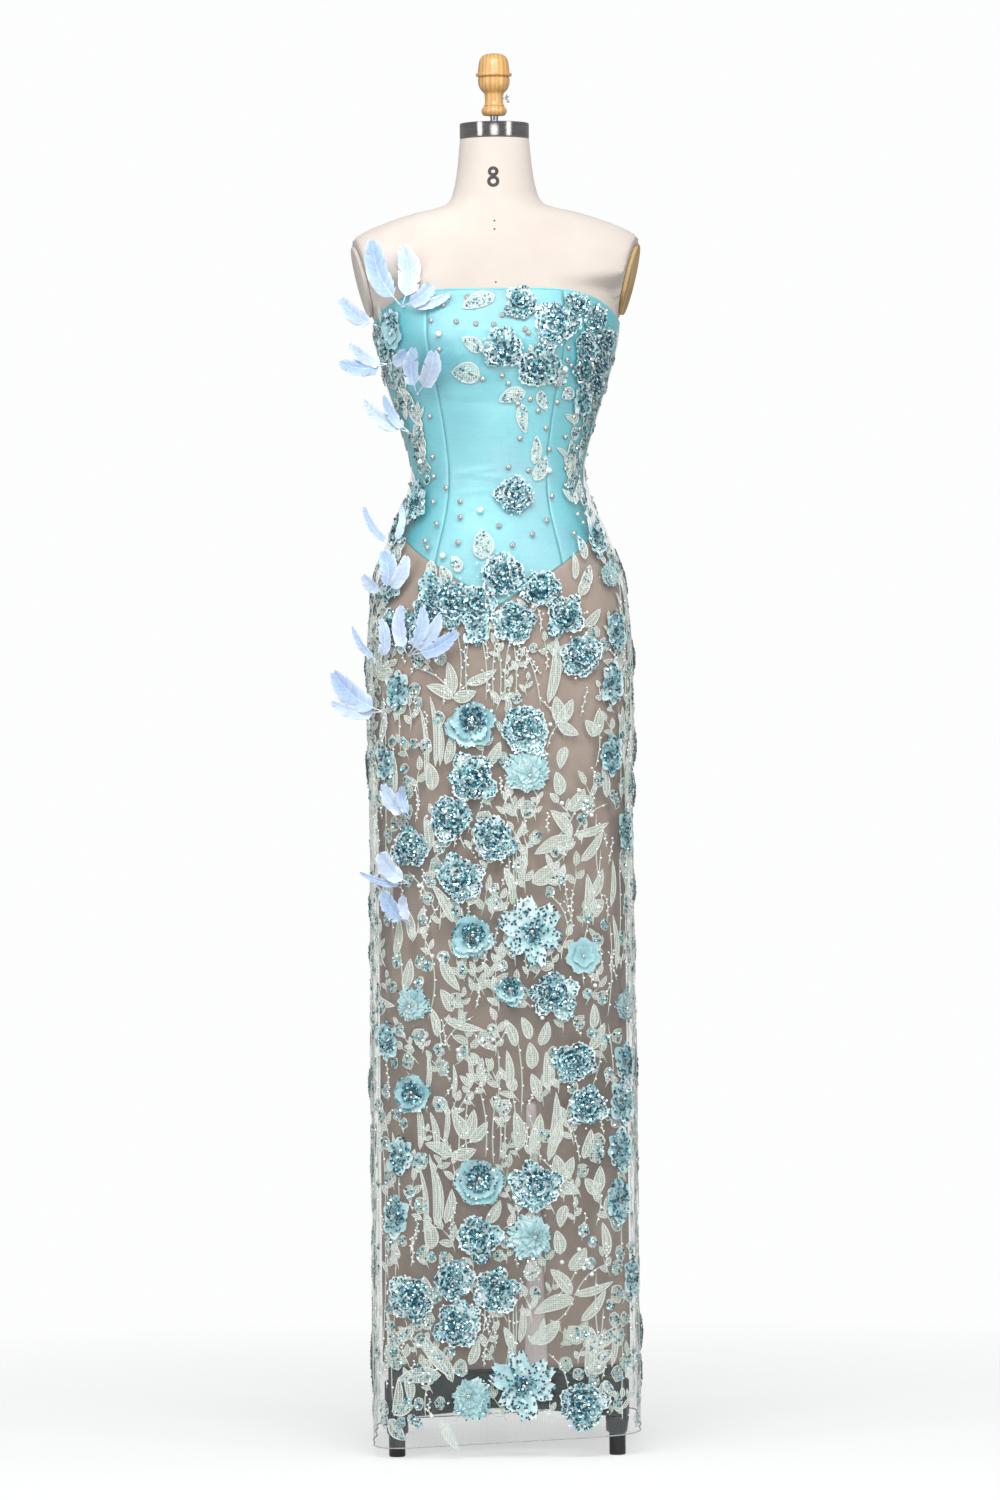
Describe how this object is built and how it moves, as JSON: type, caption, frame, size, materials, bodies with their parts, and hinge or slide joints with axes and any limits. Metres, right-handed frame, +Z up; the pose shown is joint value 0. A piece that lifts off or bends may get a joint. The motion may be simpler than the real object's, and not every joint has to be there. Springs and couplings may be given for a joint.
{
  "type": "maxi dress on a limbless dress form",
  "caption": "Strapless column maxi dress of satin with a flower-embroidered tulle overlay and feathers, worn by a limbless dress form on a four-armed stand.",
  "frame": {"origin": "on the floor, under the middle of the whole part's box", "axes": "+Z up the dress form, +X to the viewer's right, the front faces -Y"},
  "size_m": [0.4064, 0.3744, 1.8065],
  "materials": {
    "satin": "satin",
    "lining": "matte",
    "tulle": "matte",
    "applique": "gloss",
    "feather": "matte",
    "zip_tape": "matte",
    "linen": "matte",
    "plate_linen": "matte",
    "chrome": "polished",
    "steel": "satin",
    "wood": "satin",
    "cast_iron": "satin"
  },
  "bodies": {
    "dress_and_form": {"bodice_front": "satin", "bodice_side_left": "satin", "bodice_side_right": "satin", "bodice_back_left": "satin", "bodice_back_right": "satin", "lining_front": "lining", "lining_back": "lining", "overlay_front": "tulle", "overlay_back_left": "tulle", "overlay_back_right": "tulle", "zip_tape": "zip_tape", "zip_slider": "steel", "spray_bust": "applique", "spray_bust_side": "applique", "flower_bust_left": "applique", "flower_waist": "applique", "spray_hip": "applique", "spray_thigh": "applique", "spray_knee": "applique", "flower_left_high": "applique", "flower_left_mid": "applique", "flower_left_low": "applique", "spray_right_low": "applique", "spray_calf": "applique", "spray_hem": "applique", "spray_back_bust": "applique", "spray_back_hip": "applique", "spray_back_thigh": "applique", "spray_back_knee": "applique", "spray_back_hem": "applique", "spray_side_left": "applique", "spray_side_right": "applique", "feathers_shoulder": "feather", "feathers_armhole": "feather", "feathers_bust": "feather", "feathers_under_bust": "feather", "feathers_waist": "feather", "feathers_basque": "feather", "feathers_hip": "feather", "feathers_hip_front": "feather", "feathers_thigh_side": "feather", "feathers_thigh": "feather", "feathers_knee_high": "feather", "feathers_knee": "feather", "feathers_knee_low": "feather", "form_torso": "linen", "armhole_plate_right": "plate_linen", "armhole_plate_left": "plate_linen", "neck_cap": "chrome", "neck_rod": "steel", "neck_knob": "wood", "pole": "steel", "stand_base": "cast_iron", "foot_front_left": "cast_iron", "foot_front_right": "cast_iron", "foot_back_left": "cast_iron", "foot_back_right": "cast_iron"},
    "zip_pull": {"zip_pull": "steel"},
    "wing_screw": {"wing_screw": "steel"}
  },
  "joints": [
    {"name": "zip_pull_lift", "type": "hinge", "parent": "dress_and_form", "child": "zip_pull", "pos_m": [0.0146, 0.1085, 1.422], "axis": [1, 0, 0], "range_deg": [0, 150]},
    {"name": "wing_screw_turn", "type": "hinge", "parent": "dress_and_form", "child": "wing_screw", "pos_m": [0.0146, 0.0012, 1.748], "axis": [1, 0, 0], "continuous": true}
  ]
}
